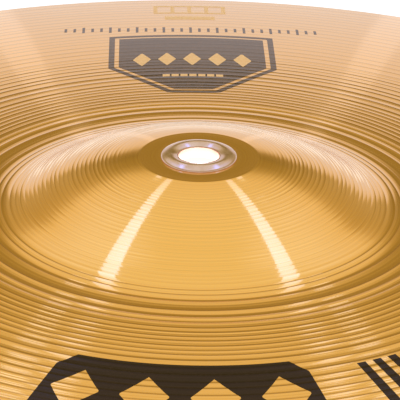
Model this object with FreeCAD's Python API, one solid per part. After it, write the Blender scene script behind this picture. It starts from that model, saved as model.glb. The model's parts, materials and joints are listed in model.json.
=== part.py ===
"""One 16 inch hand cymbal: a spun brass plate, the eyelet that lines its strap hole, and the eyelet's washer.

Millimetres, +Z up. The origin is the centre of the circle on which the rim rests, so the cymbal stands on
z = 0 with its bell upwards. Every piece is a solid of revolution about Z.
"""
import FreeCAD, Part
import math
import os

V = FreeCAD.Vector

# Plate: driving dimensions of the upper surface, as radii from the axis and slopes downwards from level.
PLATE_RADIUS = 203.2          # 16 inch diameter
PLATE_THICKNESS = 1.15        # sheet brass, the same from the hole to the rim
SEAT_RADIUS = 17.9            # level seat around the strap hole
SEAT_BLEND_RADIUS = 18.5      # where the rounding at the seat's edge ends
FLANK_RADIUS = 50.9           # steepest ring of the bell
FOOT_RADIUS = 66.5            # where the bell has turned into the bow
CROWN_SLOPE = 7.5             # degrees, just outside the seat
FLANK_SLOPE = 30.6            # degrees, at FLANK_RADIUS
FOOT_SLOPE = 1.3              # degrees, at FOOT_RADIUS
RIM_SLOPE = 9.4               # degrees, at the rim

# Rim: the cut edge is rounded, and its underside has a narrow level land that the cymbal rests on.
RIM_ROUNDING = 0.45
LAND_OUTER_INSET = 0.30
LAND_WIDTH = 0.60

# Eyelet: pressed sheet with a domed flange on the seat, a barrel through the hole and a rolled lower end.
EYELET_SHEET = 0.5
EYELET_FLANGE_RADIUS = 11.6
EYELET_BORE_RADIUS = 6.25
EYELET_LIP_ROUNDING = 1.0     # outer shoulder of the flange
EYELET_THROAT_ROUNDING = 0.7  # where the flange turns down into the barrel
EYELET_SHOULDER_TURN = 62.0   # degrees, turned by each of those two roundings
EYELET_ROLL_RADIUS = 1.5      # outside of the rolled lower end
BARREL_CLEARANCE = 0.1        # radial gap between the barrel and the plate's hole

# Washer: flat ring under the plate, which the rolled end of the eyelet bears on.
WASHER_RADIUS = 11.4
WASHER_THICKNESS = 0.8

BARREL_RADIUS = EYELET_BORE_RADIUS + EYELET_SHEET
HOLE_RADIUS = BARREL_RADIUS + BARREL_CLEARANCE


class Outline:
    """A half section drawn edge by edge, as points (radius, height) in the XZ plane."""

    def __init__(self, radius, height):
        self.edges = []
        self.first = V(radius, 0, height)
        self.last = self.first

    def line(self, radius, height):
        end = V(radius, 0, height)
        self.edges.append(Part.LineSegment(self.last, end).toShape())
        self.last = end

    def arc(self, centre, radius, start_angle, end_angle):
        """A circular arc between two directions seen from its centre, in degrees from +X towards +Z."""
        points = []
        for angle in (start_angle, (start_angle + end_angle) / 2, end_angle):
            turn = math.radians(angle)
            points.append(V(centre[0] + radius * math.cos(turn), 0, centre[1] + radius * math.sin(turn)))
        self.edges.append(Part.Arc(self.last, points[1], points[2]).toShape())
        self.last = points[2]

    def revolve(self):
        self.line(self.first.x, self.first.z)
        face = Part.Face(Part.Wire(self.edges))
        solid = face.revolve(V(0, 0, 0), V(0, 0, 1), 360)
        return Part.makeSolid(solid) if solid.ShapeType != "Solid" else solid


def bands():
    """The plate's four rounded bands from the seat outwards: (inner radius, outer radius, inner slope, outer slope)."""
    radii = (SEAT_RADIUS, SEAT_BLEND_RADIUS, FLANK_RADIUS, FOOT_RADIUS, PLATE_RADIUS)
    slopes = (0.0, CROWN_SLOPE, FLANK_SLOPE, FOOT_SLOPE, RIM_SLOPE)
    return list(zip(radii, radii[1:], slopes, slopes[1:]))


def band_circles():
    """Each band's centre and signed radius, positive where it is convex upwards, for a rim land at z = 0."""
    circles = []
    for inner, outer, slope_in, slope_out in bands():
        sine_in = math.sin(math.radians(slope_in))
        sine_out = math.sin(math.radians(slope_out))
        radius = (outer - inner) / (sine_out - sine_in)
        circles.append([inner - radius * sine_in, 0.0, radius])
    # The bow's lower surface meets the level land at the land's inner edge.
    bow = circles[-1]
    under_radius = bow[2] - PLATE_THICKNESS
    land_inner = PLATE_RADIUS - LAND_OUTER_INSET - LAND_WIDTH
    bow[1] = -math.sqrt(under_radius ** 2 - (land_inner - bow[0]) ** 2)
    # Each band inwards of the bow meets its outer neighbour with the same slope.
    for index in (2, 1, 0):
        joint_slope = math.radians(bands()[index][3])
        outer_circle = circles[index + 1]
        circle = circles[index]
        circle[1] = outer_circle[1] + (outer_circle[2] - circle[2]) * math.cos(joint_slope)
    return circles


def seat_height():
    """Height of the level seat around the strap hole."""
    blend = band_circles()[0]
    return blend[1] + blend[2]


def add_bands(outline, depth, outwards, rim_slope):
    """Adds the plate's bands, `depth` under the upper surface, in either direction."""
    steps = list(zip(bands(), band_circles()))
    if not outwards:
        steps.reverse()
    for (inner, outer, slope_in, slope_out), (centre_radius, centre_height, radius) in steps:
        if outer == PLATE_RADIUS:
            slope_out = rim_slope
        slopes = (slope_in, slope_out) if outwards else (slope_out, slope_in)
        up = 90 if radius > 0 else 270
        outline.arc((centre_radius, centre_height), abs(radius - depth), up - slopes[0], up - slopes[1])


def cymbal_plate():
    bow_radius_at, bow_height, bow_radius = band_circles()[-1]
    upper_end = PLATE_RADIUS - RIM_ROUNDING
    upper_slope = math.degrees(math.asin((upper_end - bow_radius_at) / bow_radius))
    land_outer = PLATE_RADIUS - LAND_OUTER_INSET
    land_inner = land_outer - LAND_WIDTH
    under_slope = math.degrees(math.asin((land_inner - bow_radius_at) / (bow_radius - PLATE_THICKNESS)))
    top = seat_height()

    section = Outline(HOLE_RADIUS, top)
    section.line(SEAT_RADIUS, top)
    add_bands(section, 0.0, True, upper_slope)
    # Rounded shoulder of the cut edge, a short upright, and the rounded lower corner.
    shoulder = section.last
    corner_height = LAND_OUTER_INSET
    upright_top = shoulder.z - RIM_ROUNDING
    middle = math.radians(45)
    shoulder_mid = V(
        upper_end + RIM_ROUNDING * math.sin(middle), 0, upright_top + RIM_ROUNDING * math.cos(middle)
    )
    section.edges.append(Part.Arc(shoulder, shoulder_mid, V(PLATE_RADIUS, 0, upright_top)).toShape())
    section.last = V(PLATE_RADIUS, 0, upright_top)
    section.line(PLATE_RADIUS, corner_height)
    section.arc((land_outer, corner_height), LAND_OUTER_INSET, 0, -90)
    section.line(land_inner, 0)
    add_bands(section, PLATE_THICKNESS, False, under_slope)
    section.line(HOLE_RADIUS, top - PLATE_THICKNESS)
    return section.revolve()


def eyelet():
    """Pressed sheet of even thickness: the outside of the section first, then back along its inside."""
    top = seat_height()
    turn = EYELET_SHOULDER_TURN
    crown_turn = 180 - 2 * turn
    rounding_width = (1 - math.cos(math.radians(turn))) * (EYELET_LIP_ROUNDING + EYELET_THROAT_ROUNDING)
    crown_width = EYELET_FLANGE_RADIUS - EYELET_BORE_RADIUS - rounding_width
    crown_radius = crown_width / (2 * math.sin(math.radians(crown_turn / 2)))

    lip_centre = (EYELET_FLANGE_RADIUS - EYELET_LIP_ROUNDING, top)
    lip_end = math.radians(turn)
    crown_start = V(
        lip_centre[0] + EYELET_LIP_ROUNDING * math.cos(lip_end), 0, top + EYELET_LIP_ROUNDING * math.sin(lip_end)
    )
    crown_centre = (
        crown_start.x - crown_radius * math.cos(lip_end), crown_start.z - crown_radius * math.sin(lip_end)
    )
    throat_centre = (
        EYELET_BORE_RADIUS + EYELET_THROAT_ROUNDING, crown_start.z - EYELET_THROAT_ROUNDING * math.sin(lip_end)
    )
    bearing = top - PLATE_THICKNESS - WASHER_THICKNESS
    roll_centre = (EYELET_BORE_RADIUS + EYELET_ROLL_RADIUS, bearing)

    section = Outline(EYELET_FLANGE_RADIUS, top)
    section.arc(lip_centre, EYELET_LIP_ROUNDING, 0, turn)
    section.arc(crown_centre, crown_radius, turn, 180 - turn)
    section.arc(throat_centre, EYELET_THROAT_ROUNDING, 180 - turn, 180)
    section.line(EYELET_BORE_RADIUS, bearing)
    section.arc(roll_centre, EYELET_ROLL_RADIUS, 180, 360)
    section.line(section.last.x - EYELET_SHEET, bearing)
    section.arc(roll_centre, EYELET_ROLL_RADIUS - EYELET_SHEET, 360, 180)
    section.line(BARREL_RADIUS, throat_centre[1])
    section.arc(throat_centre, EYELET_THROAT_ROUNDING - EYELET_SHEET, 180, 180 - turn)
    section.arc(crown_centre, crown_radius - EYELET_SHEET, 180 - turn, turn)
    section.arc(lip_centre, EYELET_LIP_ROUNDING - EYELET_SHEET, turn, 0)
    return section.revolve()


def eyelet_washer():
    upper = seat_height() - PLATE_THICKNESS
    section = Outline(HOLE_RADIUS, upper)
    section.line(WASHER_RADIUS, upper)
    section.line(WASHER_RADIUS, upper - WASHER_THICKNESS)
    section.line(HOLE_RADIUS, upper - WASHER_THICKNESS)
    return section.revolve()


PIECES = {
    "cymbal_plate": cymbal_plate,
    "eyelet": eyelet,
    "eyelet_washer": eyelet_washer,
}

os.makedirs("parts", exist_ok=True)
for name, build in PIECES.items():
    shape = build()
    shape.exportStep("parts/" + name + ".step")
    box = shape.BoundBox
    print(name, "valid", shape.isValid(), "volume %.1f mm3" % shape.Volume, "z %.3f to %.3f" % (box.ZMin, box.ZMax))
print("seat height %.3f" % seat_height())
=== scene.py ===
"""Looks of the 16 inch hand cymbal: turned brass plate, nickel eyelet and washer, and its printed marks.

Lengths below are in millimetres and are turned into metres where a mesh, light or camera is made.
"""
import bpy
import json
import math
import random
from mathutils import Matrix, Vector

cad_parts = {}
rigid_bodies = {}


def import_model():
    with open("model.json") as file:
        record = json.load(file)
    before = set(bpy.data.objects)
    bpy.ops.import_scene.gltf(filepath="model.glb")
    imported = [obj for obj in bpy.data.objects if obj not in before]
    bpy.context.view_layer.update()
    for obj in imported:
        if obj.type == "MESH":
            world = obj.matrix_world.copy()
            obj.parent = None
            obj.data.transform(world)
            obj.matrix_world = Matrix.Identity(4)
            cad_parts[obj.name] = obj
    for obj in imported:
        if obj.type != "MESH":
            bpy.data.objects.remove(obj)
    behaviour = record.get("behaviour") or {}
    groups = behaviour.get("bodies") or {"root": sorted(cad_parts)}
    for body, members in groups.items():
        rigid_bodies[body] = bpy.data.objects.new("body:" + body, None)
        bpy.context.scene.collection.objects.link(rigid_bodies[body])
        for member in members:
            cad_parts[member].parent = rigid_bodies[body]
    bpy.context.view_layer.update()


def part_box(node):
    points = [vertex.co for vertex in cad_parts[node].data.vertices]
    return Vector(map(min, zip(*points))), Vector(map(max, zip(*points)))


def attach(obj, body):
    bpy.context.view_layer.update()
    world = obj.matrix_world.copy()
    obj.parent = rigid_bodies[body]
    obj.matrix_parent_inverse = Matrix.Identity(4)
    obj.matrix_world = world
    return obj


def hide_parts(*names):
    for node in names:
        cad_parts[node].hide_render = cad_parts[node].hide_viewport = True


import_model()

MM = 0.001
TURN = 2 * math.pi

# The plate's section, as in the CAD: radii of the bands' edges and slopes downwards from level, in degrees.
PLATE_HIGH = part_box("cymbal_plate")[1]
PLATE_RADIUS = PLATE_HIGH[0] / MM
SEAT_HEIGHT = PLATE_HIGH[2] / MM
PLATE_THICKNESS = 1.15
BAND_RADII = (17.9, 18.5, 50.9, 66.5, PLATE_RADIUS)
BAND_SLOPES = (0.0, 7.5, 30.6, 1.3, 9.4)
RIM_ROUNDING = 0.45
LAND_OUTER_INSET = 0.30
LAND_WIDTH = 0.60
HOLE_RADIUS = 6.85

# Turned rings: the tool's passes are wide rings, each cut again in fine rings. Pitches are (radius, mm)
# points and slopes (radius, radians) points, where a slope is the steepest inside a ring.
BELL_PITCH = ((18.5, 1.25), (50.0, 1.3), (60.0, 1.9))
FOOT_EDGES = (60.0, 62.2, 65.7, 71.0, 75.2, 78.2, 81.0)
BOW_PITCH = ((83.5, 2.8), (110.0, 3.4), (150.0, 3.6), (203.0, 4.2))
PASS_SLOPE = (
    (18.5, 0.004), (22.0, 0.01), (26.0, 0.08), (32.0, 0.16), (50.0, 0.16), (60.0, 0.12), (66.0, 0.11),
    (90.0, 0.102), (105.0, 0.060), (130.0, 0.022), (170.0, 0.014), (203.0, 0.010),
)
FINE_PITCH = 1.25
FINE_SLOPE = 0.022
UNDER_PITCH = ((6.0, 3.5), (203.0, 3.5))
UNDER_FINE_PITCH = 3.5
UNDER_SLOPE = ((6.0, 0.04), (203.0, 0.04))
# How unevenly the rings are cut. Each unevenness is a share of the pitch, and each range is of the share of
# the steepest slope that a ring gets.
BELL_UNEVENNESS, BELL_SEED = 0.1, 16
BOW_UNEVENNESS, BOW_SEED = 0.25, 4
UNDER_UNEVENNESS, UNDER_SEED = 0.15, 3
TOP_CUT_SEED, UNDER_CUT_SEED = 5, 8
PASS_SLOPE_RANGE = (0.5, 1.5)
FINE_SLOPE_RANGE = (0.4, 1.6)
FINE_SHIFT = 0.25         # of the edges between fine rings, in fine pitches
WIDEST_LAST_RING = 1.5    # in pitches
BELL_RIDGE_SHADE = 0.7      # how strongly the painted shade on the ridges shows on the bell, against 1 on the bow
PLATE_SEGMENTS = 216


# ---------------------------------------------------------------- section of the plate

def band_circles():
    """Each band as (centre radius, centre height, signed radius), worked outwards from the level seat."""
    circles = []
    height_above = SEAT_HEIGHT
    for inner, outer, slope_in, slope_out in zip(BAND_RADII, BAND_RADII[1:], BAND_SLOPES, BAND_SLOPES[1:]):
        turn_in, turn_out = math.radians(slope_in), math.radians(slope_out)
        radius = (outer - inner) / (math.sin(turn_out) - math.sin(turn_in))
        centre_height = height_above - radius * math.cos(turn_in)
        circles.append((inner - radius * math.sin(turn_in), centre_height, radius))
        height_above = circles[-1][1] + radius * math.cos(turn_out)
    return circles


CIRCLES = band_circles()


def surface(r, depth=0.0):
    """Height and slope of the surface `depth` under the plate's upper surface."""
    for (centre, height, radius), slope_out in zip(CIRCLES, BAND_SLOPES[1:]):
        reach = centre + (radius - depth) * math.sin(math.radians(slope_out))
        if r <= reach or slope_out == BAND_SLOPES[-1]:
            break
    if r <= BAND_RADII[0]:
        return SEAT_HEIGHT - depth, 0.0
    offset = r - centre
    rise = math.copysign(math.sqrt((radius - depth) ** 2 - offset ** 2), radius)
    return height + rise, -offset / rise


def interpolate(points, x):
    """Value at x on the straight lines between (x, value) points."""
    for (x0, y0), (x1, y1) in zip(points, points[1:]):
        if x <= x1:
            return y0 + (y1 - y0) * max(0.0, x - x0) / (x1 - x0)
    return points[-1][1]


def ridges(start, end, pitch, unevenness, seed):
    """Radii of the ridges between turned rings, unevenly spaced by a seeded share of the pitch."""
    chance = random.Random(seed)
    found = [start]
    while True:
        step = interpolate(pitch, found[-1])
        step *= 1 + unevenness * chance.uniform(-1, 1)
        if found[-1] + WIDEST_LAST_RING * step > end:
            return found + [end]
        found.append(found[-1] + step)


def ring_runs(edges, depth, slopes, fine_pitch, seed):
    """One smooth run for each fine ring, as (radius, height, direction of the normal, nearness to a ridge),
    the last scaled to set how dark the painted shade on that ridge is.

    A pass is a shallow parabola cut into the sheet between two edges, and so are the fine rings in it.
    `depth` is 0 on the upper face and the sheet's thickness on the lower one.
    """
    chance = random.Random(seed)
    cut = -1.0 if depth == 0.0 else 1.0
    runs = []
    for inner, outer in zip(edges, edges[1:]):
        width = outer - inner
        steepest = interpolate(slopes, inner) * chance.uniform(*PASS_SLOPE_RANGE)
        # Painted shade on the ridges: weaker on the bell than on the bow.
        ridge_shade_strength = BELL_RIDGE_SHADE if inner < FOOT_EDGES[0] else 1.0
        count = max(1, round(width / fine_pitch))
        inner_places = [(k + chance.uniform(-FINE_SHIFT, FINE_SHIFT)) / count for k in range(1, count)]
        places = [0.0, *inner_places, 1.0]
        for begin, end in zip(places, places[1:]):
            fine = FINE_SLOPE * chance.uniform(*FINE_SLOPE_RANGE) if count > 1 else 0.0
            run = []
            for share in (0.0, 0.5, 1.0):
                place = begin + (end - begin) * share
                r = inner + place * width
                height, incline = surface(r, depth)
                height += cut * steepest * width * place * (1 - place)
                height += cut * fine * width * (end - begin) * share * (1 - share)
                incline += cut * (steepest * (1 - 2 * place) + fine * (1 - 2 * share))
                upwards = math.atan2(1.0, -incline)
                outwards = upwards if depth == 0.0 else upwards + math.pi
                run.append((r, height, outwards, ridge_shade_strength * abs(1 - 2 * place)))
            runs.append(run)
    return runs


def arc_run(centre, radius, start, end, steps):
    """A run along an arc with its hollow side inside, between two directions in degrees."""
    run = []
    for step in range(steps + 1):
        a = math.radians(start + (end - start) * step / steps)
        run.append((centre[0] + radius * math.cos(a), centre[1] + radius * math.sin(a), a, 0.0))
    return run


def line_run(start, end):
    """A straight run, with its outside on the left of the way it goes."""
    across = math.atan2(end[1] - start[1], end[0] - start[0]) + math.pi / 2
    return [(*start, across, 0.0), (*end, across, 0.0)]


def spin(name, runs, segments):
    """A closed lathe mesh about Z from runs that follow each other, clockwise round the section.

    Every corner gets the normal of its own run, so runs meet in crisp edges and are smooth inside.
    """
    ring_of_point, rings = [], []
    for run in runs:
        for index, (r, z, _, _) in enumerate(run):
            if rings and index == 0:
                ring_of_point.append(len(rings) - 1)
                continue
            rings.append((r, z))
            ring_of_point.append(len(rings) - 1)
    rings.pop()
    count = len(rings)
    turns = [(math.cos(TURN * s / segments), math.sin(TURN * s / segments)) for s in range(segments)]
    vertices = [(r * MM * c, r * MM * s, z * MM) for r, z in rings for c, s in turns]
    faces, normals, ridge = [], [], []
    point = 0
    for run in runs:
        for (_, _, a0, ridge0), (_, _, a1, ridge1) in zip(run, run[1:]):
            low, high = ring_of_point[point] % count, ring_of_point[point + 1] % count
            for s in range(segments):
                t = (s + 1) % segments
                face_rings = ((low, s), (high, s), (high, t), (low, t))
                faces.append(tuple(ring * segments + k for ring, k in face_rings))
                ridge += (ridge0, ridge1, ridge1, ridge0)
                for angle, k in ((a0, s), (a1, s), (a1, t), (a0, t)):
                    cosine, sine = turns[k]
                    normals.append((math.cos(angle) * cosine, math.cos(angle) * sine, math.sin(angle)))
            point += 1
        point += 1
    piece = make_mesh(name, vertices, faces, normals)
    # The nearness to a ridge is stored for the painted shade that darkens the brass along the ridges.
    if any(ridge):
        piece.data.attributes.new("ridge", "FLOAT", "CORNER").data.foreach_set("value", ridge)
    return piece


def make_mesh(name, vertices, faces, normals=None):
    mesh = bpy.data.meshes.new(name)
    mesh.from_pydata(vertices, [], faces)
    mesh.shade_smooth()
    if normals:
        mesh.normals_split_custom_set(normals)
    piece = bpy.data.objects.new(name, mesh)
    bpy.context.scene.collection.objects.link(piece)
    return piece


# ---------------------------------------------------------------- pieces

UPPER_END = PLATE_RADIUS - RIM_ROUNDING
TOP_EDGES = (
    ridges(BAND_RADII[1], FOOT_EDGES[0], BELL_PITCH, BELL_UNEVENNESS, BELL_SEED)
    + list(FOOT_EDGES[1:])
    + ridges(BOW_PITCH[0][0], UPPER_END, BOW_PITCH, BOW_UNEVENNESS, BOW_SEED)
)
TOP_RUNS = ring_runs(TOP_EDGES, 0.0, PASS_SLOPE, FINE_PITCH, TOP_CUT_SEED)


def plate_runs():
    """The plate's whole section: seat, turned upper face, rim, turned underside and hole."""
    land_outer = PLATE_RADIUS - LAND_OUTER_INSET
    land_inner = land_outer - LAND_WIDTH
    seat_edge = BAND_RADII[0]
    centre, height, radius = CIRCLES[0]
    hole_top = (HOLE_RADIUS, SEAT_HEIGHT)
    hole_foot = (HOLE_RADIUS, SEAT_HEIGHT - PLATE_THICKNESS)
    runs = [
        line_run(hole_top, (seat_edge, SEAT_HEIGHT)),
        arc_run((centre, height), radius, 90, 90 - BAND_SLOPES[1], steps=2),
    ]
    runs += TOP_RUNS
    shoulder_height, incline = surface(UPPER_END)
    start = math.degrees(math.atan2(1.0, -incline))
    upright_top = shoulder_height - RIM_ROUNDING * math.sin(math.radians(start))
    shoulder = arc_run((UPPER_END, upright_top), RIM_ROUNDING, start, 0, steps=6)
    # It starts from the very point at which the rings end.
    shoulder[0] = (*TOP_RUNS[-1][-1][:2], *shoulder[0][2:])
    runs.append(shoulder)
    runs.append(line_run(shoulder[-1][:2], (PLATE_RADIUS, LAND_OUTER_INSET)))
    runs.append(arc_run((land_outer, LAND_OUTER_INSET), LAND_OUTER_INSET, 0, -90, steps=4))
    runs.append(line_run((land_outer, 0.0), (land_inner, 0.0)))
    under_edges = ridges(seat_edge, land_inner, UNDER_PITCH, UNDER_UNEVENNESS, UNDER_SEED)
    under_runs = ring_runs(under_edges, PLATE_THICKNESS, UNDER_SLOPE, UNDER_FINE_PITCH, UNDER_CUT_SEED)
    for run in reversed(under_runs):
        runs.append(run[::-1])
    runs.append(line_run(runs[-1][-1][:2], hole_foot))
    runs.append(line_run(hole_foot, hole_top))
    return runs


plate = spin("cymbal_plate_turned", plate_runs(), PLATE_SEGMENTS)
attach(plate, "root")
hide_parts("cymbal_plate")


# ---------------------------------------------------------------- printed marks

INK_TOP = 0.03               # height of the ink over the plate
INK_BOTTOM = -0.01           # how far it reaches into the plate
OVERPRINT_TOP = 0.05         # height of ink that lies on other ink
INK_STEP = 1.6               # degrees of azimuth that one facet of ink may span
SAME_RADIUS = 1e-6
# Azimuths of the marks' centre lines, in degrees from +X towards +Y.
FAR_CENTRE = 91.4
NEAR_CENTRE = -90.0

# Plaque: upright sides down to the knee, then chamfers to a level foot. Along the centre line, its lengths
# are distances from the cymbal's axis.
PLAQUE_HALF_WIDTH = 28.6
PLAQUE_TOP = 151.0
PLAQUE_KNEE = 112.0
PLAQUE_FOOT = 88.0
PLAQUE_FOOT_HALF = 8.5
PLAQUE_FRAME = 2.0           # width of the dark frame
PLAQUE_LINE = 1.5            # width of the bare line inside it
PLAQUE_KNEE_INSET = 0.35     # how far the knee moves up for each mm that an outline is inset
PLAQUE_FOOT_INSET = 0.55     # how much narrower half of the foot gets
PLAQUE_WIDEST_TURN = 40.0    # degrees, more than any edge of the plaque is away from its centre line
PLAQUE_EDGE_STEPS = 24       # halvings in the search for an edge
PLAQUE_FOOT_GAP = 0.05       # keeps a cell's first row off the foot, where its two edges meet
LOZENGE_RADIUS = 122.5
LOZENGE_PLACES = (-17.2, -8.6, 0, 8.6, 17.2)
LOZENGE_HALF_HEIGHT = 6.5
LOZENGE_HALF_WIDTH = 3.1
LOZENGE_TIP = 0.25           # half width of its blunt tips
DASH_INNER, DASH_OUTER = 104.2, 106.2
DASH_PLACES = (-9, -6, -3, 0, 3, 6, 9)
DASH_HALF_WIDTH = 1.2

TICK_ROW = 157.6
TICK_COUNT = 14              # on each side of the middle one
TICK_SPACING = 3.15
TICK_TALL = 7.0
TICK_SHORT = 4.4
TICK_WIDTH = 0.95

LADDER_BAR = (172.0, 176.5)
LADDER_BAR_HALF_WIDTH = 9.0
LADDER_LOW_RAIL = (181.0, 182.7)
LADDER_HIGH_RAIL = (191.3, 193.0)
LADDER_HALF_WIDTH = 13.0
LADDER_RUNG_PLACES = (-12.3, -6.15, 0, 6.15, 12.3)
LADDER_RUNG_HALF_WIDTH = 0.7

# Near band and the bars beside it. Sides and widths are in degrees clockwise, seen from above.
BAND_LEFT, BAND_RIGHT = -17.0, 20.8
BAND_TOP, BAND_FOOT = 101.0, 134.0
BAND_CLIP_SPAN = 2.2         # size of the clipped corners, along the rings and across them
BAND_CLIP_HEIGHT = 6
BAND_WINDOWS = 4
BAND_WINDOW = 19.0           # height of the bare lozenges
BAND_WINDOW_SPAN = 3.4       # half of their width
BAND_WINDOW_TIP = 0.02       # half of their width at the tips
BAR_INNER, BAR_OUTER = 107.0, 134.0
BAR_PLACES = (-26.0, -28.6, -31.2)
BAR_SPAN = 1.4


def ink_cell(mesh_parts, centre, top, r0, r1, left, right):
    """Adds one closed thin shell on the upper face, between radii r0 and r1 and two edges.

    The edges are functions from radius to degrees clockwise from the centre line, seen from above. The shell
    follows every turned ring under it, so the ink has the plate's own relief.
    """
    vertices, faces, normals = mesh_parts
    rows = []
    for run in TOP_RUNS:
        for (ra, za, aa, _), (rb, zb, ab, _) in zip(run, run[1:]):
            low, high = max(ra, r0), min(rb, r1)
            if high - low > SAME_RADIUS:
                for r in (low, high):
                    share = (r - ra) / (rb - ra)
                    rows.append((r, za + (zb - za) * share, aa + (ab - aa) * share))
    widest = max(right(r) - left(r) for r, _, _ in rows)
    columns = max(1, math.ceil(widest / INK_STEP))
    count = columns + 1

    def turn(r, j):
        return math.radians(centre - left(r) - (right(r) - left(r)) * j / columns)

    first = len(vertices)
    stations = [rows[0], *rows[1::2]]
    for offset in (top, INK_BOTTOM):
        for r, z, _ in stations:
            for j in range(count):
                a = turn(r, j)
                vertices.append((r * MM * math.cos(a), r * MM * math.sin(a), (z + offset) * MM))
    layer = len(stations) * count

    def corner(i, j, under=False):
        return first + i * count + j + (layer if under else 0)

    def add(face, directions):
        faces.append(face)
        normals.extend(directions)

    for i in range(len(stations) - 1):
        inside, outside = (i, *rows[2 * i]), (i + 1, *rows[2 * i + 1])
        for j in range(columns):
            face, directions = [], []
            for (row, r, _, slant), column in ((inside, j + 1), (outside, j + 1), (outside, j), (inside, j)):
                a, level = turn(r, column), math.cos(slant)
                face.append(corner(row, column))
                directions.append((level * math.cos(a), level * math.sin(a), math.sin(slant)))
            add(tuple(face), directions)
            under = ((i, j), (i + 1, j), (i + 1, j + 1), (i, j + 1))
            add(tuple(corner(row, column, True) for row, column in under), [(0, 0, -1)] * 4)
        for j, sign in ((0, 1), (columns, -1)):
            a = turn(rows[2 * i][0], j)
            side = (corner(i, j), corner(i + 1, j), corner(i + 1, j, True), corner(i, j, True))
            add(side if sign > 0 else side[::-1], [(-sign * math.sin(a), sign * math.cos(a), 0)] * 4)
    for i, sign in ((0, -1), (len(stations) - 1, 1)):
        for j in range(columns):
            a = turn(rows[0][0], j)
            side = (corner(i, j), corner(i, j, True), corner(i, j + 1, True), corner(i, j + 1))
            add(side[::-1] if sign > 0 else side, [(sign * math.cos(a), sign * math.sin(a), 0)] * 4)


def mark(name, centre, cells, top):
    """A printed mark made of cells (r0, r1, left, right)."""
    parts = ([], [], [])
    for cell in cells:
        ink_cell(parts, centre, top, *cell)
    piece = make_mesh(name, *parts)
    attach(piece, "root")
    return piece


def straight(r0, r1, x, half_width):
    """A cell whose sides are parallel to the centre line, half_width mm each side of x."""
    return (
        r0, r1,
        lambda r: math.degrees(math.asin((x - half_width) / r)),
        lambda r: math.degrees(math.asin((x + half_width) / r)),
    )


def lozenge(x):
    """A cell that is widest in the middle and narrows to blunt tips."""
    def reach(r):
        share = 1 - abs(r - LOZENGE_RADIUS) / LOZENGE_HALF_HEIGHT
        return LOZENGE_TIP + (LOZENGE_HALF_WIDTH - LOZENGE_TIP) * share

    return (
        LOZENGE_RADIUS - LOZENGE_HALF_HEIGHT, LOZENGE_RADIUS + LOZENGE_HALF_HEIGHT,
        lambda r: math.degrees(math.asin((x - reach(r)) / r)),
        lambda r: math.degrees(math.asin((x + reach(r)) / r)),
    )


def plaque_edge(inset):
    """Right edge of the plaque's outline, inset by so many mm, with the radii of its foot and its top."""
    half = PLAQUE_HALF_WIDTH - inset
    knee = PLAQUE_KNEE + PLAQUE_KNEE_INSET * inset
    foot = PLAQUE_FOOT + inset
    foot_half = PLAQUE_FOOT_HALF - PLAQUE_FOOT_INSET * inset

    def inside(r, beta):
        x, y = r * math.sin(beta), r * math.cos(beta)
        if y < foot or x > half:
            return False
        return y >= knee or x <= foot_half + (half - foot_half) * (y - foot) / (knee - foot)

    def edge(r):
        low, high = 0.0, math.radians(PLAQUE_WIDEST_TURN)
        for _ in range(PLAQUE_EDGE_STEPS):
            middle = (low + high) / 2
            low, high = (middle, high) if inside(r, middle) else (low, middle)
        return math.degrees(low)

    return edge, foot, PLAQUE_TOP - inset


def plaque_cells():
    """A dark frame, a bare line inside it, and a dark panel."""
    outer, outer_foot, outer_top = plaque_edge(0.0)
    inner, inner_foot, inner_top = plaque_edge(PLAQUE_FRAME)
    panel, panel_foot, panel_top = plaque_edge(PLAQUE_FRAME + PLAQUE_LINE)
    return [
        (outer_foot + PLAQUE_FOOT_GAP, inner_foot, lambda r: -outer(r), outer),
        (inner_foot + PLAQUE_FOOT_GAP, inner_top, lambda r: -outer(r), lambda r: -inner(r)),
        (inner_foot + PLAQUE_FOOT_GAP, inner_top, inner, outer),
        (inner_top, outer_top, lambda r: -outer(r), outer),
        (panel_foot + PLAQUE_FOOT_GAP, panel_top, lambda r: -panel(r), panel),
    ]


def overprint_cells():
    """The pale marks on the plaque: a row of lozenges over a row of dashes."""
    cells = [lozenge(x) for x in LOZENGE_PLACES]
    cells += [straight(DASH_INNER, DASH_OUTER, x, DASH_HALF_WIDTH) for x in DASH_PLACES]
    return cells


def tick_cells():
    """A straight row of ticks like a rule's, every third one tall."""
    cells = []
    for k in range(-TICK_COUNT, TICK_COUNT + 1):
        x = k * TICK_SPACING
        half = TICK_TALL / 2 if k % 3 == 0 else TICK_SHORT / 2
        inner, outer = math.hypot(x, TICK_ROW - half), math.hypot(x, TICK_ROW + half)
        cells.append(straight(inner, outer, x, TICK_WIDTH / 2))
    return cells


def ladder_cells():
    """Two rails joined by rungs, over one solid bar."""
    cells = [
        straight(*LADDER_HIGH_RAIL, 0, LADDER_HALF_WIDTH),
        straight(*LADDER_LOW_RAIL, 0, LADDER_HALF_WIDTH),
        straight(*LADDER_BAR, 0, LADDER_BAR_HALF_WIDTH),
    ]
    rung = LADDER_LOW_RAIL[1], LADDER_HIGH_RAIL[0]
    cells += [straight(*rung, x, LADDER_RUNG_HALF_WIDTH) for x in LADDER_RUNG_PLACES]
    return cells


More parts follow.
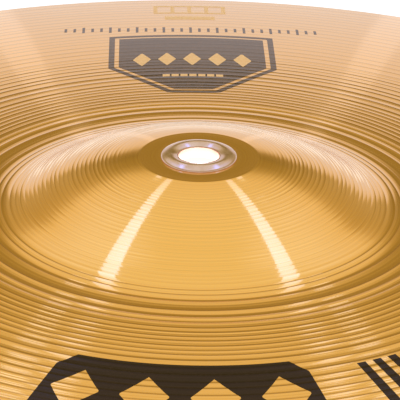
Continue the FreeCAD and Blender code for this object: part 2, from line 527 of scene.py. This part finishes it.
def band_cells():
    """A heavy band with clipped ends along the rings, with a row of lozenges left bare in it."""
    left, right, top, foot = BAND_LEFT, BAND_RIGHT, BAND_TOP, BAND_FOOT
    middle, half_height = (top + foot) / 2, BAND_WINDOW / 2
    pitch = (right - left) / BAND_WINDOWS

    def clip(r):
        at_top = max(0.0, 1 - (r - top) / BAND_CLIP_HEIGHT)
        at_foot = max(0.0, 1 - (foot - r) / BAND_CLIP_HEIGHT)
        return BAND_CLIP_SPAN * at_top + BAND_CLIP_SPAN * at_foot

    def left_end(r):
        return left + clip(r)

    def right_end(r):
        return right - clip(r)

    def opening(r):
        return BAND_WINDOW_SPAN * max(0.0, 1 - abs(r - middle) / half_height) + BAND_WINDOW_TIP

    low, high = middle - half_height, middle + half_height
    cells = [(top, low, left_end, right_end), (high, foot, left_end, right_end)]
    for k in range(BAND_WINDOWS + 1):
        start, end = left + (k - 0.5) * pitch, left + (k + 0.5) * pitch
        cells.append((
            low, high,
            left_end if k == 0 else lambda r, a=start: a + opening(r),
            right_end if k == BAND_WINDOWS else lambda r, a=end: a - opening(r),
        ))
    return cells


def bar_cells():
    """Short bars across the rings, beside the band."""
    return [(BAR_INNER, BAR_OUTER, lambda r, a=a: a, lambda r, a=a: a + BAR_SPAN) for a in BAR_PLACES]


# Each mark's slot, material, centre line, cells and height. The far marks' dark ink is thinner.
MARKS = {
    "print_plaque": ("dark_print", "thin_print", FAR_CENTRE, plaque_cells(), INK_TOP),
    "print_ticks": ("dark_print", "thin_print", FAR_CENTRE, tick_cells(), INK_TOP),
    "print_band": ("dark_print", "dark_print", NEAR_CENTRE, band_cells(), INK_TOP),
    "print_bars": ("dark_print", "dark_print", NEAR_CENTRE, bar_cells(), INK_TOP),
    "print_lozenges": ("pale_print", "pale_print", FAR_CENTRE, overprint_cells(), OVERPRINT_TOP),
    "print_ladder": ("pale_print", "pale_print", FAR_CENTRE, ladder_cells(), INK_TOP),
}
printed = []
for mark_name, (mark_slot, ink_name, mark_centre, mark_cells, mark_top) in MARKS.items():
    printed.append((mark(mark_name, mark_centre, mark_cells, mark_top), ink_name))


# ---------------------------------------------------------------- materials

class Nodes:
    """A short way to write a node tree: add() makes a node, sets its values and links its inputs."""

    def __init__(self, owner):
        owner.use_nodes = True
        self.tree = owner.node_tree
        self.tree.nodes.clear()

    def add(self, kind, inputs=(), **settings):
        node = self.tree.nodes.new("ShaderNode" + kind)
        for key, value in settings.items():
            setattr(node, key, value)
        for key, value in dict(inputs).items():
            if isinstance(value, bpy.types.NodeSocket):
                self.tree.links.new(value, node.inputs[key])
            else:
                node.inputs[key].default_value = value
        return node

    def ramp(self, factor, stops):
        """A colour ramp through (place, colour) stops."""
        node = self.add("ValToRGB", {"Fac": factor})
        while len(node.color_ramp.elements) < len(stops):
            node.color_ramp.elements.new(1.0)
        for element, (place, colour) in zip(node.color_ramp.elements, stops):
            element.position = place
            element.color = (*colour, 1)
        return node.outputs["Color"]

    def radius(self):
        """Distance from the cymbal's axis, in metres."""
        place = self.add("TexCoord").outputs["Object"]
        flat = self.add("VectorMath", {0: place, 1: (1, 1, 0)}, operation="MULTIPLY").outputs[0]
        return self.add("VectorMath", {0: flat}, operation="LENGTH").outputs["Value"]

    def lines(self, radius, spacing, detail, seed):
        """Noise in circles about the axis: the same all the way round, and new every `spacing` mm."""
        place = self.add("Math", {0: radius, 1: 1 / (spacing * MM)}, operation="MULTIPLY").outputs[0]
        place = self.add("Math", {0: place, 1: seed}, operation="ADD").outputs[0]
        inputs = {"W": place, "Scale": 1.0, "Detail": detail}
        return self.add("TexNoise", inputs, noise_dimensions="1D").outputs[0]

    def finish(self, shader):
        self.add("OutputMaterial", {"Surface": shader.outputs[0]})


BRASS = (0.865, 0.468, 0.098)
BRASS_RED, BRASS_YELLOW = (0.83, 0.435, 0.082), (0.90, 0.51, 0.12)
RIDGE_SHADE_BRASS = (0.55, 0.25, 0.035)   # painted shade: darker brass on the ridges between the rings
RIDGE_SHADE_SHARPNESS = 4.0
RIDGE_SHADE_SHARE = 0.62


def turned_brass():
    material = bpy.data.materials.new("turned_brass")
    n = Nodes(material)
    r = n.radius()
    fine = n.lines(r, 0.45, 3.0, 11.0)
    broad = n.lines(r, 2.2, 2.0, 37.0)
    colour = n.ramp(fine, ((0.3, BRASS_RED), (0.55, BRASS), (0.75, BRASS_YELLOW)))
    # Painted shade: the brass colour is darkened along each ridge between the rings.
    ridge = n.add("Attribute", attribute_name="ridge").outputs["Fac"]
    painted_ridge_shade = n.add("Math", {0: ridge, 1: RIDGE_SHADE_SHARPNESS}, operation="POWER").outputs[0]
    painted_ridge_shade = n.add("Math", {0: painted_ridge_shade, 1: RIDGE_SHADE_SHARE}, operation="MULTIPLY").outputs[0]
    colour = n.add("MixRGB", {"Fac": painted_ridge_shade, "Color1": colour, "Color2": (*RIDGE_SHADE_BRASS, 1)}).outputs[0]
    rough = n.add("MapRange", {
        "Value": broad, "From Min": 0.3, "From Max": 0.7, "To Min": 0.05, "To Max": 0.11,
    })
    bump = n.add("Bump", {"Height": fine, "Strength": 0.12, "Distance": 0.00002})
    tangent = n.add("Tangent", direction_type="RADIAL", axis="Z")
    shader = n.add("BsdfPrincipled", {
        "Base Color": colour, "Metallic": 1.0, "Roughness": rough.outputs[0], "Normal": bump.outputs[0],
        "Tangent": tangent.outputs[0], "Anisotropic": 0.9, "Anisotropic Rotation": 0.25,
        "Coat Weight": 0.6, "Coat Roughness": 0.03, "Coat IOR": 1.5,
    })
    n.finish(shader)
    return material


def nickel_plate():
    material = bpy.data.materials.new("nickel_plate")
    n = Nodes(material)
    place = n.add("TexCoord").outputs["Object"]
    haze = n.add("TexNoise", {"Vector": place, "Scale": 380.0, "Detail": 5.0}).outputs[0]
    # The pinkish brown is a painted reflection of the brass round the eyelet, warmer than bare nickel.
    colour = n.ramp(haze, ((0.35, (0.61, 0.42, 0.33)), (0.65, (0.68, 0.49, 0.40))))
    rough = n.add("MapRange", {
        "Value": haze, "From Min": 0.3, "From Max": 0.7, "To Min": 0.11, "To Max": 0.19,
    })
    bump = n.add("Bump", {"Height": haze, "Strength": 0.1, "Distance": 0.00001})
    n.finish(n.add("BsdfPrincipled", {
        "Base Color": colour, "Metallic": 1.0, "Roughness": rough.outputs[0], "Normal": bump.outputs[0],
    }))
    return material


def ink(name, colour, worn_colour, roughness, ior, tint):
    """Screen-printed ink, with speckle and wear that runs along the rings."""
    material = bpy.data.materials.new(name)
    n = Nodes(material)
    place = n.add("TexCoord").outputs["Object"]
    speckle = n.add("TexNoise", {"Vector": place, "Scale": 900.0, "Detail": 4.0}).outputs[0]
    patch = n.lines(n.radius(), 1.2, 2.0, 5.0)
    mixed = n.add("Math", {0: speckle, 1: patch}, operation="MULTIPLY").outputs[0]
    shade = n.ramp(mixed, ((0.15, colour), (0.4, worn_colour)))
    rough = n.add("MapRange", {
        "Value": speckle, "From Min": 0.3, "From Max": 0.7,
        "To Min": roughness - 0.04, "To Max": roughness + 0.08,
    })
    bump = n.add("Bump", {"Height": speckle, "Strength": 0.2, "Distance": 0.00002})
    n.finish(n.add("BsdfPrincipled", {
        "Base Color": shade, "Roughness": rough.outputs[0], "Normal": bump.outputs[0], "IOR": ior,
        "Specular Tint": (*tint, 1),
    }))
    return material


BRASS_MATERIAL = turned_brass()
NICKEL_MATERIAL = nickel_plate()
INKS = {
    "dark_print": ink(
        "dark_print", (0.009, 0.004, 0.001), (0.018, 0.008, 0.003), 0.11, ior=1.28, tint=(1.0, 0.4, 0.1)),
    "thin_print": ink(
        "thin_print", (0.02, 0.009, 0.004), (0.11, 0.055, 0.026), 0.10, ior=1.48, tint=(1.0, 0.45, 0.15)),
    "pale_print": ink(
        "pale_print", (0.86, 0.54, 0.21), (0.78, 0.46, 0.17), 0.45, ior=1.40, tint=(1.0, 0.8, 0.5)),
}
plate.data.materials.append(BRASS_MATERIAL)
for piece, ink_name in printed:
    piece.data.materials.append(INKS[ink_name])
for piece in bpy.data.objects:
    if piece.type == "MESH" and piece.name in ("eyelet", "eyelet_washer"):
        for slot in piece.material_slots:
            slot.material = NICKEL_MATERIAL


# ---------------------------------------------------------------- studio

CAMERA_PLACE = Vector((0.56, -814.8, 398.1)) * MM    # the strips are hung to be mirrored from here
FLOOR_HALF_SIDE = 30.0    # metres
FLOOR_GREY = (0.3, 0.3, 0.3)
FLOOR_GLOW = 0.9
PANEL_RADIUS, PANEL_HEIGHT, PANEL_SEGMENTS, PANEL_GLOW = 60.0, 0.5, 48, 3.5

# Colour of the surroundings by height above the horizon, in degrees: a white room with a dim band in it.
SKY = (
    (0.0, (0.91, 0.86, 0.90)), (10.0, (0.94, 0.86, 0.85)), (13.5, (0.95, 0.85, 0.80)),
    (16.5, (0.92, 0.81, 0.71)), (18.5, (0.79, 0.66, 0.44)), (20.5, (0.48, 0.37, 0.16)),
    (22.5, (0.35, 0.27, 0.085)), (25.5, (0.41, 0.32, 0.10)), (28.0, (0.44, 0.35, 0.12)),
    (31.0, (0.58, 0.48, 0.21)), (34.0, (0.83, 0.73, 0.44)), (37.5, (0.95, 0.87, 0.62)),
    (50.0, (0.98, 0.96, 0.84)), (60.0, (1.0, 1.0, 0.92)),
)
# Off to the sides the dim band starts lower. `aside` is a direction's x squared, up to DIM_SPREAD_LIMIT, and
# below z = DIM_MIDDLE the colour is that of a place DIM_SPREAD * aside higher, up to DIM_MIDDLE.
DIM_SPREAD = 0.63
DIM_SPREAD_LIMIT = 0.16
DIM_MIDDLE = 0.375
# The dim band is lighter to the sides too, between these values of `aside`.
SIDE_FILL, SIDE_FILL_SHARE = (0.76, 0.64, 0.36), 0.6
SIDE_FILL_START, SIDE_FILL_END = 0.035, 0.13
# A bluish glow is added high up to the sides, between these values of `aside` and of z.
SIDE_GLOW = (0.09, 0.15, 0.5)
SIDE_GLOW_START, SIDE_GLOW_END = 0.02, 0.14
HIGH_GLOW_START, HIGH_GLOW_END = 0.45, 0.85

# Strips of light. Azimuths are in degrees from the near side (-Y) towards +X, and widths in degrees. A course
# is the (radius, slope in degrees) of the places that mirror a strip.
STRIP_DISTANCE = 20000.0
STRIP_AZIMUTHS = (-27.3, 28.6)
STRIP_WIDTH = 5.6
STRIP_STEPS = 24
STRIP_LOW_COLOUR = (1.3, 1.45, 2.2)
STRIP_HIGH_COLOUR = (1.45, 2.0, 5.6)
STRIP_LOW_SHARE, STRIP_HIGH_SHARE = 0.68, 0.95   # heights where the colour starts and ends, by distance
RING_SLOPES_BEYOND = (4, 8, 12)                  # degrees past the flank's own slope that its rings reach
BOW_STRIP_AZIMUTHS = (-28.8, 30.3)
BOW_STRIP_WIDTH = 5.0
BOW_STRIP_COLOUR = (1.3, 1.45, 2.1)
BOW_COURSE = ((85.0, 4.0), (90.0, 5.8))
FAR_STRIP_AZIMUTHS = (-150.3, 151.9)
FAR_STRIP_GLOW = (0.12, 0.13, 0.16)
FAR_COURSE = ((75.0, -4.0), (110.0, 4.0), (125.0, 12.0))


def studio_floor():
    material = bpy.data.materials.new("studio_floor")
    n = Nodes(material)
    diffuse = n.add("BsdfDiffuse", {"Color": (*FLOOR_GREY, 1)})
    glow = n.add("Emission", {"Color": (1, 1, 1, 1), "Strength": FLOOR_GLOW})
    n.finish(n.add("AddShader", {0: diffuse.outputs[0], 1: glow.outputs[0]}))
    side = FLOOR_HALF_SIDE
    corners = [(-side, -side, 0), (side, -side, 0), (side, side, 0), (-side, side, 0)]
    floor = make_mesh("studio_floor", corners, [(0, 1, 2, 3)])
    floor.data.materials.append(material)
    return floor


def surroundings():
    """The world that the metal mirrors."""
    world = bpy.data.worlds.new("studio")
    n = Nodes(world)
    direction = n.add("SeparateXYZ", {0: n.add("TexCoord").outputs["Generated"]}).outputs
    up = direction["Z"]
    aside = n.add("Math", {0: direction["X"], 1: direction["X"]}, operation="MULTIPLY").outputs[0]
    aside = n.add("Math", {0: aside, 1: DIM_SPREAD_LIMIT}, operation="MINIMUM").outputs[0]
    spread = n.add("Math", {0: aside, 1: DIM_SPREAD, 2: up}, operation="MULTIPLY_ADD").outputs[0]
    above = n.add("Math", {0: up, 1: DIM_MIDDLE}, operation="MAXIMUM").outputs[0]
    place = n.add("Math", {0: spread, 1: above}, operation="MINIMUM").outputs[0]
    stops = [(math.sin(math.radians(e)), colour) for e, colour in SKY]
    colour = n.ramp(place, stops)
    to_side = n.add("MapRange", {
        "Value": aside, "From Min": SIDE_GLOW_START, "From Max": SIDE_GLOW_END,
    }, interpolation_type="SMOOTHSTEP")
    overhead = n.add("MapRange", {
        "Value": up, "From Min": HIGH_GLOW_START, "From Max": HIGH_GLOW_END,
    }, interpolation_type="SMOOTHSTEP")
    glow = n.add("Math", {0: to_side.outputs[0], 1: overhead.outputs[0]}, operation="MULTIPLY").outputs[0]
    beside = n.add("MapRange", {
        "Value": aside, "From Min": SIDE_FILL_START, "From Max": SIDE_FILL_END, "To Max": SIDE_FILL_SHARE,
    })
    colour = n.add("MixRGB", {
        "Fac": beside.outputs[0], "Color1": colour, "Color2": (*SIDE_FILL, 1),
    }, blend_type="LIGHTEN").outputs[0]
    colour = n.add("MixRGB", {"Fac": glow, "Color1": colour, "Color2": (*SIDE_GLOW, 1)}, blend_type="ADD")
    background = n.add("Background", {"Color": colour.outputs[0], "Strength": 1.0})
    n.add("OutputWorld", {"Surface": background.outputs[0]})
    return world


def studio():
    """The floor, the panel under the dome and the strips, which aren't part of the cymbal."""
    staging = [studio_floor(), panel()]
    bell_glow = strip_glow()
    bow_glow = glowing("bow_strip_light", BOW_STRIP_COLOUR, 1.0)
    far_glow = glowing("far_strip_light", FAR_STRIP_GLOW, 1.0, see_through=True)
    kinds = (
        ("strip_light", STRIP_AZIMUTHS, STRIP_WIDTH, flank_course(), bell_glow),
        ("bow_strip_light", BOW_STRIP_AZIMUTHS, BOW_STRIP_WIDTH, BOW_COURSE, bow_glow),
        ("far_strip_light", FAR_STRIP_AZIMUTHS, STRIP_WIDTH, FAR_COURSE, far_glow),
    )
    for name, azimuths, width, course, material in kinds:
        for azimuth in azimuths:
            strip = strip_light(name, azimuth, width, course)
            strip.data.materials.append(material)
            staging.append(strip)
    return staging


def panel():
    """A glowing disc under the dome, seen through the eyelet."""
    corners = []
    for s in range(PANEL_SEGMENTS):
        a = TURN * s / PANEL_SEGMENTS
        corners.append((PANEL_RADIUS * MM * math.cos(a), PANEL_RADIUS * MM * math.sin(a), PANEL_HEIGHT * MM))
    piece = make_mesh("light_under_dome", corners, [tuple(range(PANEL_SEGMENTS))])
    piece.data.materials.append(glowing("light_under_dome", (1, 1, 1), PANEL_GLOW))
    return piece


def glowing(name, colour, strength, see_through=False):
    material = bpy.data.materials.new(name)
    n = Nodes(material)
    glow = n.add("Emission", {"Color": (*colour, 1), "Strength": strength})
    if see_through:
        glow = n.add("AddShader", {0: glow.outputs[0], 1: n.add("BsdfTransparent").outputs[0]})
    n.finish(glow)
    return material


def strip_glow():
    """The glow of the bell's strips, weaker and warmer low down."""
    material = bpy.data.materials.new("strip_light")
    n = Nodes(material)
    up = n.add("SeparateXYZ", {0: n.add("TexCoord").outputs["Object"]}).outputs["Z"]
    share = n.add("MapRange", {
        "Value": up, "From Min": STRIP_LOW_SHARE * STRIP_DISTANCE * MM,
        "From Max": STRIP_HIGH_SHARE * STRIP_DISTANCE * MM,
    }).outputs[0]
    colour = n.add("MixRGB", {
        "Fac": share, "Color1": (*STRIP_LOW_COLOUR, 1), "Color2": (*STRIP_HIGH_COLOUR, 1),
    })
    n.finish(n.add("Emission", {"Color": colour.outputs[0], "Strength": 1.0}))
    return material


def around(r, azimuth):
    """A place on the plate: azimuth in degrees from the near side (-Y), towards +X."""
    a = math.radians(azimuth)
    return Vector((r * math.sin(a), -r * math.cos(a), surface(r)[0])) * MM


def mirrored(r, azimuth, slope):
    """Where a surface at this place, sloping down outwards by `slope` degrees, mirrors the strip."""
    place = around(r, azimuth)
    sight = (place - CAMERA_PLACE).normalized()
    t, a = math.radians(slope), math.radians(azimuth)
    normal = Vector((math.sin(t) * math.sin(a), -math.sin(t) * math.cos(a), math.cos(t)))
    return place + (sight - 2 * sight.dot(normal) * normal) * STRIP_DISTANCE * MM


def strip_light(name, azimuth, width, course):
    """A long bent strip, hung so that the plate mirrors it along one line outwards at this azimuth."""
    vertices, faces = [], []
    for index, (r, slope) in enumerate(course):
        vertices.append(mirrored(r, azimuth - width / 2, slope))
        vertices.append(mirrored(r, azimuth + width / 2, slope))
        if index:
            last = 2 * index
            faces.append((last - 2, last - 1, last + 1, last))
    return make_mesh(name, vertices, faces)


def flank_course():
    """Radius and slope down the bell, and on to steeper slopes than it has, which its rings reach."""
    course = []
    for step in range(STRIP_STEPS + 1):
        r = BAND_RADII[1] + (BAND_RADII[2] - BAND_RADII[1]) * step / STRIP_STEPS
        course.append((r, math.degrees(math.atan(-surface(r)[1]))))
    return course + [(BAND_RADII[2], BAND_SLOPES[2] + more) for more in RING_SLOPES_BEYOND]


bpy.context.scene.world = surroundings()
bpy.context.scene.view_settings.view_transform = "Standard"
for staged in studio():
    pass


# ---------------------------------------------------------------- camera

CAMERA_PITCH = math.radians(25.178)
CAMERA_ROLL = math.radians(-1.009)
FOCAL_RATIO = 7.3875    # focal length by the width of the frame
SENSOR_WIDTH = 36.0
CLIP_START = 0.01       # metres

camera_data = bpy.data.cameras.new("camera")
camera_data.sensor_width = SENSOR_WIDTH
camera_data.lens = FOCAL_RATIO * camera_data.sensor_width
camera_data.clip_start = CLIP_START
camera = bpy.data.objects.new("camera", camera_data)
forwards = Vector((0, math.cos(CAMERA_PITCH), -math.sin(CAMERA_PITCH)))
right = Vector((1, 0, 0))
upwards = Vector((0, math.sin(CAMERA_PITCH), math.cos(CAMERA_PITCH)))
camera_x = right * math.cos(CAMERA_ROLL) - upwards * math.sin(CAMERA_ROLL)
camera_y = right * math.sin(CAMERA_ROLL) + upwards * math.cos(CAMERA_ROLL)
camera.matrix_world = Matrix.Translation(CAMERA_PLACE) @ Matrix(
    (camera_x, camera_y, -forwards)).transposed().to_4x4()
bpy.context.scene.collection.objects.link(camera)
bpy.context.scene.camera = camera

bpy.context.view_layer.update()
